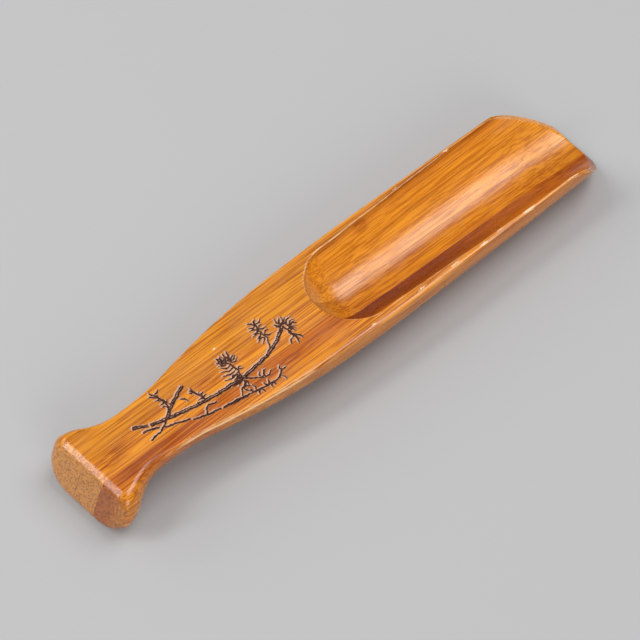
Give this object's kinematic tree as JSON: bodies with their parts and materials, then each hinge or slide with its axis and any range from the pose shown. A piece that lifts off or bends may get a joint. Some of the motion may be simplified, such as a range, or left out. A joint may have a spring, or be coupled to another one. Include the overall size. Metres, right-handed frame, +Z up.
{
  "type": "tea scoop",
  "caption": "Bamboo tea scoop with a long open trough, a waisted flared handle, a carved spray of bamboo and a satin lacquer, glued up from strips side by side.",
  "frame": {"origin": "on the table under the middle of the scoop's length and width, at the height of the sanded underside", "axes": "+X along the scoop from the butt of the handle to the pouring lip, +Y across it to its left side, +Z up out of the trough"},
  "size_m": [0.1649, 0.0294, 0.0145],
  "materials": {
    "left_bamboo": "satin clear lacquer over fine bamboo grain",
    "middle_bamboo": "satin clear lacquer over fine bamboo grain",
    "right_bamboo": "satin clear lacquer over fine bamboo grain",
    "glue": "cured wood glue, a thin dark line"
  },
  "bodies": {
    "root": {"left_bamboo_strip": "left_bamboo", "left_glue_line": "glue", "middle_bamboo_strip": "middle_bamboo", "right_glue_line": "glue", "right_bamboo_strip": "right_bamboo"}
  },
  "joints": []
}
